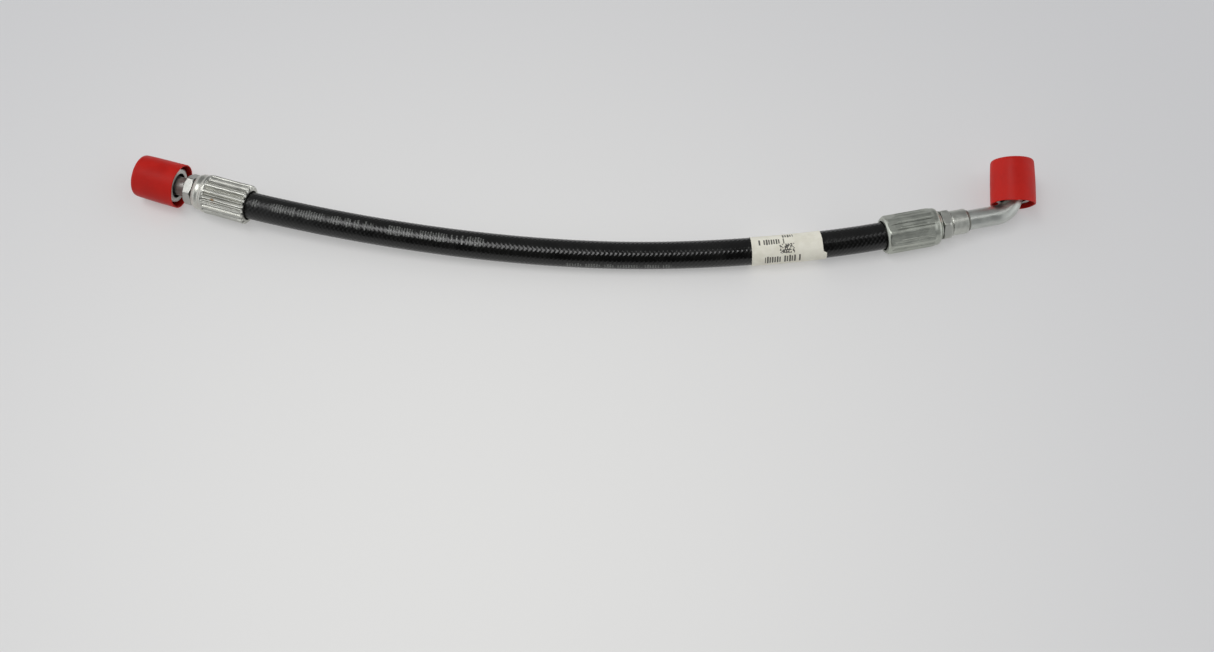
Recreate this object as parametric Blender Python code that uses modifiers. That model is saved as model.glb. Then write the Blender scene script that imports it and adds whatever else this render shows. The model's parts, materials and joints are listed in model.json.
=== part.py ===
"""Hydraulic hose assembly: a two-wire rubber hose with a straight swivel end and a swept elbow swivel end.

Both ends are crimped on, both swivel nuts turn freely on a retaining wire, and both ports wear a red
push-on dust cap. The assembly lies on the ground plane in a shallow bow.

Frame: metres, +Z up, origin on the ground under the middle of the object's box. +X runs along the hose
from the straight end to the elbow end, +Y is the side that both ends bend towards.

Each end has an empty at its ferrule's mouth whose local +Z points out of the hose along the fitting and
whose local +X is up. Distances along a fitting (the *_AT values) are measured from that mouth.
"""

import math

import bmesh
import bpy
from mathutils import Matrix, Vector

MM = 0.001
FACETS = 24  # facets of the turned fitting pieces
HOSE_FACETS = 12  # facets of the hose layers, the same for all so that they nest
GAP = 0.3 * MM  # between neighbouring pieces
OVERLAP = 0.5 * MM  # of two volumes that are joined, and of a cutter past the piece it cuts

# Layout on the ground plane
STRAIGHT_MOUTH = Vector((-165.7, 2.9, 10.9)) * MM  # centre of the straight ferrule's mouth
STRAIGHT_AZIMUTH = math.radians(180.0 - 17.3)  # the way the straight fitting points
BOW_LOW_POINT = Vector((30.1, -23.5, 6.8)) * MM  # where the hose runs parallel to X, on the ground
ELBOW_MOUTH = Vector((148.3, -13.7, 9.4)) * MM
ELBOW_AZIMUTH = math.radians(11.6)
BEND_AT_STRAIGHT = math.radians(-15.3)  # slope of the hose as it leaves the straight ferrule

# Hose, radii from the inside out
LAYER_RADII = {  # inner and outer radius
    "hose_inner_tube": (3.3 * MM, 4.2 * MM),
    "hose_inner_braid": (4.3 * MM, 4.7 * MM),
    "hose_braid_separator": (4.8 * MM, 5.0 * MM),
    "hose_outer_braid": (5.1 * MM, 5.5 * MM),
    "hose_cover": (5.6 * MM, 6.8 * MM),
}
HOSE_END_AT = 24.0 * MM  # the hose ends this deep in each ferrule
LEFT_HANDLES = (62 * MM, 65 * MM)  # lengths of the curve handles, at the ferrule and at the low point
RIGHT_HANDLES = (36 * MM, 36 * MM)
SPINE_STEPS = 9  # segments in each half of the bow
LABEL_RADII = (6.95 * MM, 7.15 * MM)
LABEL_START = 31.5 * MM  # distance of the label from the elbow ferrule's mouth
LABEL_LENGTH = 34.8 * MM
LABEL_STEPS = 5

# Ferrules
FERRULE_LENGTH = 28.6 * MM
FERRULE_BORE_R = 7.05 * MM
FERRULE_MOUTH_R = 7.5 * MM
MOUTH_CHAMFER = (0.9 * MM, 1.3 * MM)  # inwards and along
COLLAR_STEP = (0.3 * MM, 0.5 * MM, 0.8 * MM)  # drop at its foot, length of the run-in, length of the rise
TIP_LENGTH = 2.0 * MM
STRAIGHT_FERRULE_R = 9.8 * MM
STRAIGHT_CREASES = 20  # crest lines left by the crimping dies
STRAIGHT_COLLAR = (23.8 * MM, 9.3 * MM, 8.2 * MM)  # where it starts, its radius, its radius at the tip
ELBOW_FERRULE_R = 9.6 * MM
ELBOW_FLATS = 8
ELBOW_ACROSS_FLATS = 18.7 * MM
ELBOW_COLLAR = (25.0 * MM, 8.6 * MM, 7.2 * MM)

# Nipples: insert in the hose, locking collar in the ferrule, spanner hex
INSERT_R = 3.0 * MM
INSERT_BORE_R = 2.3 * MM
INSERT_START = 1.0 * MM
INSERT_CHAMFER = (0.3 * MM, 1.0 * MM)  # inwards and along
COLLAR_R = 5.6 * MM
HEX_AT = 28.9 * MM
HEX_LENGTH = 4.8 * MM
HEX_ACROSS_FLATS = 14.0 * MM
STRAIGHT_HEX_TURN = math.radians(30.0)  # the elbow's hex has a flat on top, the straight one a corner
NECK_R = 4.7 * MM

# Elbow: socket, brazed tube, seat
SOCKET_END_AT = 42.4 * MM
SOCKET_R = 6.15 * MM
SOCKET_DEPTH = 6.0 * MM
SOCKET_CHAMFER = (0.4 * MM, 0.5 * MM)  # inwards and along
TUBE_R = 4.9 * MM
TUBE_WALL = 1.3 * MM
TUBE_FIT = 0.2 * MM  # braze gap around the tube
BRAZE_TIP = 0.1 * MM  # thickness of a braze fillet at its thin end
SOCKET_BRAZE = (5.65 * MM, 0.8 * MM)  # radius at the foot, height
SEAT_BRAZE = (5.5 * MM, 0.5 * MM)
CORNER_AT = 67.6 * MM  # where the tube's axis and the port's axis meet
BEND_R = 11.4 * MM
BEND_STEPS = 8
ELBOW_DEFLECTION = math.radians(78.1)
ELBOW_ROLL = math.radians(18.7)  # the elbow is rolled up from the ground by this
TUBE_FACETS = 16

# Swivel nut, retaining wire and seat, along the port from the nut's back face
NUT_ACROSS_FLATS = 17.0 * MM
NUT_LENGTH = 16.0 * MM
NUT_BACK_R = 6.15 * MM
NUT_THREAD_R = 6.65 * MM
NUT_THREAD_AT = 4.2 * MM
NUT_CHAMFER = math.radians(33.0)  # slope of the cone that takes off the corners
NUT_MOUTH_CHAMFER = 0.8 * MM
WIRE_R = 0.5 * MM
WIRE_RING_R = 6.15 * MM
WIRE_AT = 2.9 * MM
WIRE_GROOVE_R = 6.95 * MM
WIRE_FACETS = 8
SEAT_AT = 3.7 * MM
SEAT_R = 6.0 * MM
SEAT_LENGTH = 5.0 * MM
SEAT_CONE = math.radians(37.0)
SEAT_MOUTH_R = 5.6 * MM
SEAT_BORE_R = 3.4 * MM
SEAT_EDGE = (0.2 * MM, 0.3 * MM)  # chamfer, inwards and along

# Dust caps
CAP_LENGTH = 22.6 * MM
CAP_MOUTH_R = 10.9 * MM
CAP_END_R = 10.6 * MM
CAP_WALL_R = 10.15 * MM  # inner radius, over the nut's corners
CAP_END_WALL = 1.3 * MM
CAP_ROUND = 1.6 * MM
ROUND_STEPS = 3

# Where each port's pieces stand: the straight port from the ferrule's mouth, the elbow's from its corner
STRAIGHT_NUT_AT = 38.9 * MM
STRAIGHT_CAP_AT = 37.2 * MM
ELBOW_NUT_AT = 5.8 * MM
ELBOW_CAP_AT = 3.6 * MM


def clear_scene():
    for obj in list(bpy.data.objects):
        bpy.data.objects.remove(obj, do_unlink=True)


def new_collection(name):
    collection = bpy.data.collections.new(name)
    bpy.context.scene.collection.children.link(collection)
    return collection


def new_material(name, colour, roughness, metallic):
    material = bpy.data.materials.new(name)
    material.use_nodes = True
    shader = material.node_tree.nodes["Principled BSDF"]
    shader.inputs["Base Color"].default_value = (*colour, 1.0)
    shader.inputs["Roughness"].default_value = roughness
    shader.inputs["Metallic"].default_value = metallic
    material.diffuse_color = (*colour, 1.0)
    return material


def new_empty(name, matrix, parent=None):
    empty = bpy.data.objects.new(name, None)
    PARTS.objects.link(empty)
    empty.parent = parent
    empty.location = matrix.to_translation()
    empty.rotation_euler = matrix.to_euler()
    return empty


def place(obj, parent, material, at=0.0, turn=0.0, collection=None):
    """Links obj, at a distance along its parent's +Z and turned about that axis."""
    (collection or PARTS).objects.link(obj)
    obj.parent = parent
    obj.location = (0.0, 0.0, at)
    obj.rotation_euler = (0.0, 0.0, turn)
    if material:
        obj.data.materials.append(material)
    return obj


def direction_frame(origin, forward, up=Vector((0, 0, 1))):
    """A frame at origin with +Z along forward and +X as near to up as it can be."""
    z = forward.normalized()
    x = (up - z * up.dot(z)).normalized()
    y = z.cross(x)
    return Matrix.Translation(origin) @ Matrix((x, y, z)).transposed().to_4x4()


def turned(name, profile, facets=FACETS):
    """A solid of revolution about +Z from a closed (radius, height) outline, with a Screw modifier."""
    area = sum(a[0] * b[1] - b[0] * a[1] for a, b in zip(profile, profile[1:] + profile[:1]))
    if area > 0:  # the outer side has to run downwards
        profile = profile[::-1]
    on_axis = [i for i, p in enumerate(profile) if p[0] < 1e-9]
    if on_axis:  # an outline that touches the axis is opened there
        last = next(i for i in on_axis if (i + 1) % len(profile) not in on_axis)
        profile = profile[last:] + profile[:last]
    points = [(r, 0.0, z) for r, z in profile]
    edges = [(i, i + 1) for i in range(len(points) - 1)]
    if not on_axis:
        edges.append((len(points) - 1, 0))
    mesh = bpy.data.meshes.new(name)
    mesh.from_pydata(points, edges, [])
    obj = bpy.data.objects.new(name, mesh)
    screw = obj.modifiers.new("Screw", "SCREW")
    screw.axis = "Z"
    screw.steps = screw.render_steps = facets
    screw.use_merge_vertices = True
    screw.merge_threshold = 0.00001
    return obj


def prism(name, sides, across_flats, low, high):
    """A regular prism about +Z, with its flats square to +X."""
    bm = bmesh.new()
    radius = across_flats / 2 / math.cos(math.pi / sides)
    depth = high - low
    bmesh.ops.create_cone(bm, cap_ends=True, segments=sides, radius1=radius, radius2=radius, depth=depth)
    turn = math.pi / sides - math.pi / 2  # a cone's first corner is on +Y
    bmesh.ops.rotate(bm, verts=bm.verts, matrix=Matrix.Rotation(turn, 3, "Z"))
    bmesh.ops.translate(bm, verts=bm.verts, vec=(0, 0, (low + high) / 2))
    mesh = bpy.data.meshes.new(name)
    bm.to_mesh(mesh)
    bm.free()
    return bpy.data.objects.new(name, mesh)


def combine(obj, operation, tool, turn=0.0):
    """Adds an exact Boolean with a hidden tool that shares obj's parent and place."""
    place(tool, obj.parent, None, obj.location.z, obj.rotation_euler.z + turn, CUTTERS)
    tool.hide_render = True
    tool.display_type = "WIRE"
    boolean = obj.modifiers.new(tool.name, "BOOLEAN")
    boolean.operation = operation
    boolean.solver = "EXACT"
    boolean.object = tool


def tube(name, points, radius, wall, facets, twist):
    """A hollow tube along points: a bevelled curve made a mesh, with Solidify for its wall."""
    curve = bpy.data.curves.new(name + "_path", "CURVE")
    curve.dimensions = "3D"
    curve.twist_mode = twist
    curve.bevel_depth = radius
    curve.bevel_resolution = facets // 2 - 2
    spline = curve.splines.new("POLY")
    spline.points.add(len(points) - 1)
    for spot, point in zip(spline.points, points):
        spot.co = (*point, 1.0)
    path = bpy.data.objects.new(name + "_path", curve)
    bpy.context.scene.collection.objects.link(path)
    depsgraph = bpy.context.evaluated_depsgraph_get()
    mesh = bpy.data.meshes.new_from_object(path.evaluated_get(depsgraph))
    bpy.data.objects.remove(path, do_unlink=True)
    bm = bmesh.new()
    bm.from_mesh(mesh)
    bmesh.ops.remove_doubles(bm, verts=bm.verts, dist=0.00001)
    bm.to_mesh(mesh)
    bm.free()
    mesh.name = name
    obj = bpy.data.objects.new(name, mesh)
    solidify = obj.modifiers.new("Wall", "SOLIDIFY")
    solidify.thickness = wall * math.cos(math.pi / facets)
    solidify.offset = -1.0
    solidify.use_even_offset = True
    return obj


def bezier(start, start_handle, end_handle, end, steps):
    points = []
    for i in range(steps + 1):
        t = i / steps
        u = 1 - t
        points.append(u**3 * start + 3 * u * u * t * start_handle + 3 * u * t * t * end_handle + t**3 * end)
    return points


def hose_spine():
    """The hose's centreline from its end in the straight ferrule to its end in the elbow ferrule."""
    straight_out = Vector((math.cos(STRAIGHT_AZIMUTH), math.sin(STRAIGHT_AZIMUTH), 0))
    elbow_out = Vector((math.cos(ELBOW_AZIMUTH), math.sin(ELBOW_AZIMUTH), 0))
    leaving = Vector((math.cos(BEND_AT_STRAIGHT), math.sin(BEND_AT_STRAIGHT), 0))
    along = Vector((1, 0, 0))
    left = bezier(
        STRAIGHT_MOUTH,
        STRAIGHT_MOUTH + leaving * LEFT_HANDLES[0],
        BOW_LOW_POINT - along * LEFT_HANDLES[1],
        BOW_LOW_POINT,
        SPINE_STEPS,
    )
    right = bezier(
        BOW_LOW_POINT,
        BOW_LOW_POINT + along * RIGHT_HANDLES[0],
        ELBOW_MOUTH - elbow_out * RIGHT_HANDLES[1],
        ELBOW_MOUTH,
        SPINE_STEPS,
    )
    first = STRAIGHT_MOUTH + straight_out * HOSE_END_AT
    last = ELBOW_MOUTH + elbow_out * HOSE_END_AT
    return [first] + left + right[1:] + [last]


def points_between(spine, start, end, steps):
    """Evenly spaced points of a polyline between two distances from its far end, HOSE_END_AT left out."""
    lengths = [0.0]
    for a, b in zip(spine[::-1], spine[::-1][1:]):
        lengths.append(lengths[-1] + (b - a).length)

    def at(distance):
        for i in range(len(lengths) - 1):
            if lengths[i + 1] >= distance:
                share = (distance - lengths[i]) / (lengths[i + 1] - lengths[i])
                return spine[-1 - i].lerp(spine[-2 - i], share)
        return spine[0]

    step = (end - start) / steps
    return [at(HOSE_END_AT + end - step * i) for i in range(steps + 1)]


def make_hose():
    spine = hose_spine()
    materials = {
        "hose_inner_tube": MATERIALS["rubber"],
        "hose_inner_braid": MATERIALS["wire"],
        "hose_braid_separator": MATERIALS["rubber"],
        "hose_outer_braid": MATERIALS["wire"],
        "hose_cover": MATERIALS["rubber"],
    }
    for name, (inner, outer) in LAYER_RADII.items():
        layer = tube(name, spine, outer, outer - inner, HOSE_FACETS, "Z_UP")
        place(layer, None, materials[name])
    wrapped = points_between(spine, LABEL_START, LABEL_START + LABEL_LENGTH, LABEL_STEPS)
    label = tube("hose_label", wrapped, LABEL_RADII[1], LABEL_RADII[1] - LABEL_RADII[0], HOSE_FACETS, "Z_UP")
    place(label, None, MATERIALS["paper"])


def ferrule_profile(radius, collar):
    """Outline of a crimped shell: chamfered mouth, crimped body, then a collar locked on the nipple."""
    collar_at, collar_r, tip_r = collar
    inwards, along = MOUTH_CHAMFER
    drop, run_in, rise = COLLAR_STEP
    outer = [
        (FERRULE_MOUTH_R, 0.0),
        (radius - inwards, 0.0),
        (radius, along),
        (radius, collar_at - run_in),
        (collar_r - drop, collar_at),
        (collar_r, collar_at + rise),
        (collar_r, FERRULE_LENGTH - TIP_LENGTH),
        (tip_r, FERRULE_LENGTH),
    ]
    inner = [
        (COLLAR_R + GAP, FERRULE_LENGTH),
        (COLLAR_R + GAP, HOSE_END_AT + GAP),
        (FERRULE_BORE_R, HOSE_END_AT + GAP),
        (FERRULE_BORE_R, INSERT_START),
    ]
    return outer + inner


def insert_outline():
    """The nipple's insert in the hose and its locking collar, from the tip to the spanner hex."""
    inwards, along = INSERT_CHAMFER
    return [
        (INSERT_BORE_R, INSERT_START),
        (INSERT_R - inwards, INSERT_START),
        (INSERT_R, INSERT_START + along),
        (INSERT_R, HOSE_END_AT + 2 * GAP),
        (COLLAR_R, HOSE_END_AT + 2 * GAP),
        (COLLAR_R, HEX_AT + OVERLAP),
    ]


def seat_outline(back, bore_r):
    """The nut's seat, from its shoulder at height back to the 37 degree cone, then down to bore_r."""
    front = back + SEAT_LENGTH
    cone_depth = (SEAT_MOUTH_R - bore_r) / math.tan(SEAT_CONE)
    inwards, along = SEAT_EDGE
    return [
        (SEAT_R, back),
        (SEAT_R, front - along),
        (SEAT_R - inwards, front),
        (SEAT_MOUTH_R, front),
        (bore_r, front - cone_depth),
    ]


def make_swivel(prefix, parent, nut_at, cap_at):
    """A swivel nut with its retaining wire and dust cap, along parent's +Z."""
    nut = prism(prefix + "_swivel_nut", 6, NUT_ACROSS_FLATS, 0.0, NUT_LENGTH)
    place(nut, parent, MATERIALS["zinc"], nut_at)
    flat = NUT_ACROSS_FLATS / 2
    outside = flat / math.cos(math.pi / 6) + OVERLAP
    rise = (outside - flat) * math.tan(NUT_CHAMFER)
    chamfers = [
        (0.0, 0.0),
        (flat, 0.0),
        (outside, rise),
        (outside, NUT_LENGTH - rise),
        (flat, NUT_LENGTH),
        (0.0, NUT_LENGTH),
    ]
    combine(nut, "INTERSECT", turned(prefix + "_nut_chamfers", chamfers))
    bore = [
        (0.0, -OVERLAP),
        (NUT_BACK_R, -OVERLAP),
        (NUT_BACK_R, WIRE_AT - WIRE_R - GAP),
        (WIRE_GROOVE_R, WIRE_AT - WIRE_R - GAP),
        (WIRE_GROOVE_R, WIRE_AT + WIRE_R + GAP),
        (NUT_BACK_R, WIRE_AT + WIRE_R + GAP),
        (NUT_BACK_R, NUT_THREAD_AT),
        (NUT_THREAD_R, NUT_THREAD_AT),
        (NUT_THREAD_R, NUT_LENGTH - NUT_MOUTH_CHAMFER),
        (NUT_THREAD_R + NUT_MOUTH_CHAMFER, NUT_LENGTH),
        (NUT_THREAD_R + NUT_MOUTH_CHAMFER, NUT_LENGTH + OVERLAP),
        (0.0, NUT_LENGTH + OVERLAP),
    ]
    combine(nut, "DIFFERENCE", turned(prefix + "_nut_bore", bore))

    section = [
        (
            WIRE_RING_R + WIRE_R * math.cos(math.tau * (i + 0.5) / WIRE_FACETS),
            WIRE_R * math.sin(math.tau * (i + 0.5) / WIRE_FACETS),
        )
        for i in range(WIRE_FACETS)
    ]
    place(turned(prefix + "_retaining_wire", section), parent, MATERIALS["wire"], nut_at + WIRE_AT)

    top = CAP_LENGTH
    rounded = [
        (
            CAP_END_R - CAP_ROUND + CAP_ROUND * math.cos(math.pi / 2 * i / ROUND_STEPS),
            top - CAP_ROUND + CAP_ROUND * math.sin(math.pi / 2 * i / ROUND_STEPS),
        )
        for i in range(ROUND_STEPS + 1)
    ]
    cap = [(CAP_WALL_R, 0.0), (CAP_MOUTH_R, 0.0)] + rounded
    cap += [(0.0, top), (0.0, top - CAP_END_WALL), (CAP_WALL_R, top - CAP_END_WALL)]
    place(turned(prefix + "_dust_cap", cap), parent, MATERIALS["cap"], cap_at)


def make_straight_end():
    forward = Vector((math.cos(STRAIGHT_AZIMUTH), math.sin(STRAIGHT_AZIMUTH), 0))
    axis = new_empty("straight_end_axis", direction_frame(STRAIGHT_MOUTH, forward))

    shell = ferrule_profile(STRAIGHT_FERRULE_R, STRAIGHT_COLLAR)
    ferrule = turned("straight_ferrule", shell, STRAIGHT_CREASES)
    place(ferrule, axis, MATERIALS["zinc"])

    seat_at = STRAIGHT_NUT_AT + SEAT_AT
    nipple = insert_outline()
    nipple += [(NECK_R, HEX_AT + OVERLAP), (NECK_R, seat_at)]
    nipple += seat_outline(seat_at, INSERT_BORE_R)
    body = turned("straight_nipple", nipple)
    place(body, axis, MATERIALS["zinc"])
    hexagon = prism("straight_hex", 6, HEX_ACROSS_FLATS, HEX_AT, HEX_AT + HEX_LENGTH)
    combine(body, "UNION", hexagon, STRAIGHT_HEX_TURN)
    hex_bore = [(0.0, 0.0), (INSERT_BORE_R, 0.0), (INSERT_BORE_R, seat_at), (0.0, seat_at)]
    combine(body, "DIFFERENCE", turned("straight_hex_bore", hex_bore))
    make_swivel("straight", axis, STRAIGHT_NUT_AT, STRAIGHT_CAP_AT)


def make_elbow_end():
    forward = Vector((math.cos(ELBOW_AZIMUTH), math.sin(ELBOW_AZIMUTH), 0))
    axis = new_empty("elbow_end_axis", direction_frame(ELBOW_MOUTH, forward))

    shell = ferrule_profile(ELBOW_FERRULE_R, ELBOW_COLLAR)
    ferrule = turned("elbow_ferrule", shell)
    place(ferrule, axis, MATERIALS["zinc"])
    flats = prism("elbow_crimp_flats", ELBOW_FLATS, ELBOW_ACROSS_FLATS, -OVERLAP, FERRULE_LENGTH + OVERLAP)
    combine(ferrule, "INTERSECT", flats)

    socket_bore = TUBE_R + TUBE_FIT
    socket_floor = SOCKET_END_AT - SOCKET_DEPTH
    inwards, along = SOCKET_CHAMFER
    stem = insert_outline()
    stem += [
        (SOCKET_R, HEX_AT + OVERLAP),
        (SOCKET_R, SOCKET_END_AT - along),
        (SOCKET_R - inwards, SOCKET_END_AT),
        (socket_bore, SOCKET_END_AT),
        (socket_bore, socket_floor),
        (INSERT_BORE_R, socket_floor),
    ]
    body = turned("elbow_stem", stem)
    place(body, axis, MATERIALS["zinc"])
    combine(body, "UNION", prism("elbow_hex", 6, HEX_ACROSS_FLATS, HEX_AT, HEX_AT + HEX_LENGTH))
    hex_bore = [(0.0, 0.0), (INSERT_BORE_R, 0.0), (INSERT_BORE_R, socket_floor), (0.0, socket_floor)]
    combine(body, "DIFFERENCE", turned("elbow_hex_bore", hex_bore))

    # The bend turns away from -Y (the axis frame's +Y) and is rolled up from the ground.
    side = Vector((math.sin(ELBOW_ROLL), -math.cos(ELBOW_ROLL), 0))
    out = Vector((0, 0, 1))
    tangent = BEND_R * math.tan(ELBOW_DEFLECTION / 2)
    start = out * (CORNER_AT - tangent)
    centre = start + side * BEND_R
    port = out * math.cos(ELBOW_DEFLECTION) + side * math.sin(ELBOW_DEFLECTION)
    corner = out * CORNER_AT
    seat_at = ELBOW_NUT_AT + SEAT_AT
    cone_depth = (SEAT_MOUTH_R - SEAT_BORE_R) / math.tan(SEAT_CONE)
    tube_end = seat_at + SEAT_LENGTH - cone_depth - 2 * GAP
    points = [out * (socket_floor + GAP)]
    for i in range(BEND_STEPS + 1):
        angle = ELBOW_DEFLECTION * i / BEND_STEPS
        points.append(centre - side * BEND_R * math.cos(angle) + out * BEND_R * math.sin(angle))
    points.append(corner + port * tube_end)
    bent = tube("elbow_tube", points, TUBE_R, TUBE_WALL, TUBE_FACETS, "MINIMUM")
    place(bent, axis, MATERIALS["zinc"])

    foot_r, height = SOCKET_BRAZE
    fillet = [
        (socket_bore, SOCKET_END_AT + GAP),
        (foot_r, SOCKET_END_AT + GAP),
        (socket_bore + BRAZE_TIP, SOCKET_END_AT + GAP + height),
        (socket_bore, SOCKET_END_AT + GAP + height),
    ]
    place(turned("elbow_socket_braze", fillet), axis, MATERIALS["braze"])

    port_axis = new_empty("elbow_port_axis", direction_frame(corner, port, Vector((1, 0, 0))), axis)
    sleeve = seat_outline(seat_at, SEAT_BORE_R)
    floor = seat_at + SEAT_LENGTH - cone_depth - GAP
    sleeve += [(SEAT_BORE_R, floor), (socket_bore, floor), (socket_bore, seat_at)]
    place(turned("elbow_seat", sleeve), port_axis, MATERIALS["zinc"])
    foot_r, height = SEAT_BRAZE
    bead = [
        (socket_bore, seat_at - GAP - height),
        (socket_bore + BRAZE_TIP, seat_at - GAP - height),
        (foot_r, seat_at - GAP),
        (socket_bore, seat_at - GAP),
    ]
    place(turned("elbow_seat_braze", bead), port_axis, MATERIALS["braze"])
    make_swivel("elbow", port_axis, ELBOW_NUT_AT, ELBOW_CAP_AT)


clear_scene()
PARTS = new_collection("hydraulic_hose_assembly")
CUTTERS = new_collection("cutters")
MATERIALS = {
    "zinc": new_material("zinc_plated_steel", (0.56, 0.56, 0.54), 0.34, 1.0),
    "wire": new_material("steel_wire", (0.52, 0.51, 0.48), 0.40, 1.0),
    "braze": new_material("braze_metal", (0.62, 0.55, 0.38), 0.38, 1.0),
    "rubber": new_material("black_rubber", (0.022, 0.022, 0.024), 0.55, 0.0),
    "paper": new_material("paper_label", (0.74, 0.72, 0.64), 0.65, 0.0),
    "cap": new_material("red_vinyl", (0.62, 0.03, 0.035), 0.36, 0.0),
}
make_hose()
make_straight_end()
make_elbow_end()
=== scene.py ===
"""Looks of the hydraulic hose assembly: crimped zinc ends, braided rubber hose, paper label, vinyl caps.

Every piece is built around an axis or the hose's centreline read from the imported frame, in metres.
"""

import json
import math

import bpy
import numpy as np
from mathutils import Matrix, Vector


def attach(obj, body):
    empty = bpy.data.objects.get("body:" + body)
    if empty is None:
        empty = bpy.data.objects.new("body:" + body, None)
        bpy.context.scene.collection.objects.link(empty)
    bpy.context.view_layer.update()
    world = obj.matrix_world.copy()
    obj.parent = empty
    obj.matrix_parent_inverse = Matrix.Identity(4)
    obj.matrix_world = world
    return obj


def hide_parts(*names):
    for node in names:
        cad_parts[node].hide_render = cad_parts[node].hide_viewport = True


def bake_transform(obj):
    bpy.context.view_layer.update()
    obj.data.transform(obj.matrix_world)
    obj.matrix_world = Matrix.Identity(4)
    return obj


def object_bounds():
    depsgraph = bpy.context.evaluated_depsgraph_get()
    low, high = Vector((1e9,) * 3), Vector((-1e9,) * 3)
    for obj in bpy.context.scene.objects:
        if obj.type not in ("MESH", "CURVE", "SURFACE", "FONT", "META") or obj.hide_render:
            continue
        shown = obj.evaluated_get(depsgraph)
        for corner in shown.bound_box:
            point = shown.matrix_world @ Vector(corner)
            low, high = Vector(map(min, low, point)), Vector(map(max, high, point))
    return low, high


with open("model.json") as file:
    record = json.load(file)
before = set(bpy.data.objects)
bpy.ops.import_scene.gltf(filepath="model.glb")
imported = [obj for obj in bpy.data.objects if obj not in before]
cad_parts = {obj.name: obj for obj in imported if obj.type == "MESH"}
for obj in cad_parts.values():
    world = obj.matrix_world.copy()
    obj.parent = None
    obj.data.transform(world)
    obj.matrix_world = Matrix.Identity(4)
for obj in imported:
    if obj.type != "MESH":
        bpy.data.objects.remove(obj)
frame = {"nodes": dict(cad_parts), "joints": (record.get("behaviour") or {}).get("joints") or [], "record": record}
CAD_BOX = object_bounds()

MM = 0.001
TAU = 2 * math.pi
UP = np.array((0.0, 0.0, 1.0))
JOINTS = {j["name"]: j for j in frame["joints"]}
MOUNTS = {m["name"]: m for m in frame["record"]["mounts"]}

# Both fittings, along each from its ferrule's mouth
INSERT_R = 3.0 * MM
COLLAR_AT = 24.6 * MM
COLLAR_R = 5.6 * MM
HEX_AT = 28.9 * MM
HEX_END = 33.7 * MM
HEX_APOTHEM = 7.0 * MM
SHELL_NECK_AT = 24.3 * MM  # where a ferrule narrows from the hose to the collar
SHELL_NECK_R = 5.9 * MM
SHELL_BORE_R = 7.05 * MM

# Nuts and seats
NUT_APOTHEM = 8.5 * MM
THREAD_PITCH = 25.4 * MM / 18
SEAT_MOUTH_R = 5.6 * MM
SEAT_CONE = math.radians(37)
CHAMFER_SLOPE = math.tan(math.radians(58))

# Bent tube
TUBE_R = 4.9 * MM
TUBE_WALL = 1.3 * MM
TUBE_SOCKET_R = 5.1 * MM
BEND_R = 11.4 * MM

HOSE_R = 6.8 * MM
FLEX_BEFORE, FLEX_AFTER = 0.150, 0.115  # distances from the hinge towards each end, kept in FLEX; nothing here bends the hose with them

STROKE_GAPS = 0.12  # share of printed strokes left out
HOSE_STROKE, LABEL_STROKE = 1.30 * MM, 1.20 * MM  # room for one printed stroke
LABEL_DOT = 0.55 * MM


# ------------ frame


def unit(v):
    v = np.asarray(v, float)
    return v / np.linalg.norm(v)


def node_points(name):
    """The distinct vertices of a CAD node."""
    co = np.array([v.co for v in frame["nodes"][name].data.vertices], float)
    return np.unique(np.round(co, 7), axis=0)


class Axis:
    """A line with an angle round it: 0 is up, a quarter turn is forward x up."""

    def __init__(self, origin, forward, up=UP):
        self.o = np.asarray(origin, float)
        self.z = unit(forward)
        self.x = unit(up - self.z * np.dot(up, self.z))
        self.y = np.cross(self.z, self.x)

    def at(self, along, radius, angle):
        """Points at distances along the line, radii and angles (arrays that broadcast)."""
        along, radius, angle = np.broadcast_arrays(along, radius, angle)
        flat = np.cos(angle)[..., None] * self.x + np.sin(angle)[..., None] * self.y
        return self.o + along[..., None] * self.z + radius[..., None] * flat

    def span(self, node):
        """(lowest, highest) distance along the line and (smallest, largest) radius of a CAD node."""
        rel = node_points(node) - self.o
        along = rel @ self.z
        radius = np.linalg.norm(rel - along[:, None] * self.z, axis=1)
        return along.min(), along.max(), radius.min(), radius.max()

    def moved_to(self, node):
        """The same line, measured from the low end of a CAD node."""
        return Axis(self.o + self.z * self.span(node)[0], self.z, self.x)


def joint_axis(joint, node):
    """Along a joint's axis, from the low end of a CAD node."""
    return Axis(JOINTS[joint]["pos_m"], JOINTS[joint]["axis"]).moved_to(node)


def elbow_axis():
    """Along the elbow's ferrule and stem, from the ferrule's mouth outwards."""
    braze_middle = node_points("elbow_socket_braze").mean(0)
    over = np.asarray(MOUNTS["elbow_spanner_flat"]["pos_m"], float)
    on_axis = over - UP * (over[2] - braze_middle[2])
    return Axis(on_axis, braze_middle - on_axis).moved_to("elbow_ferrule")


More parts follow.
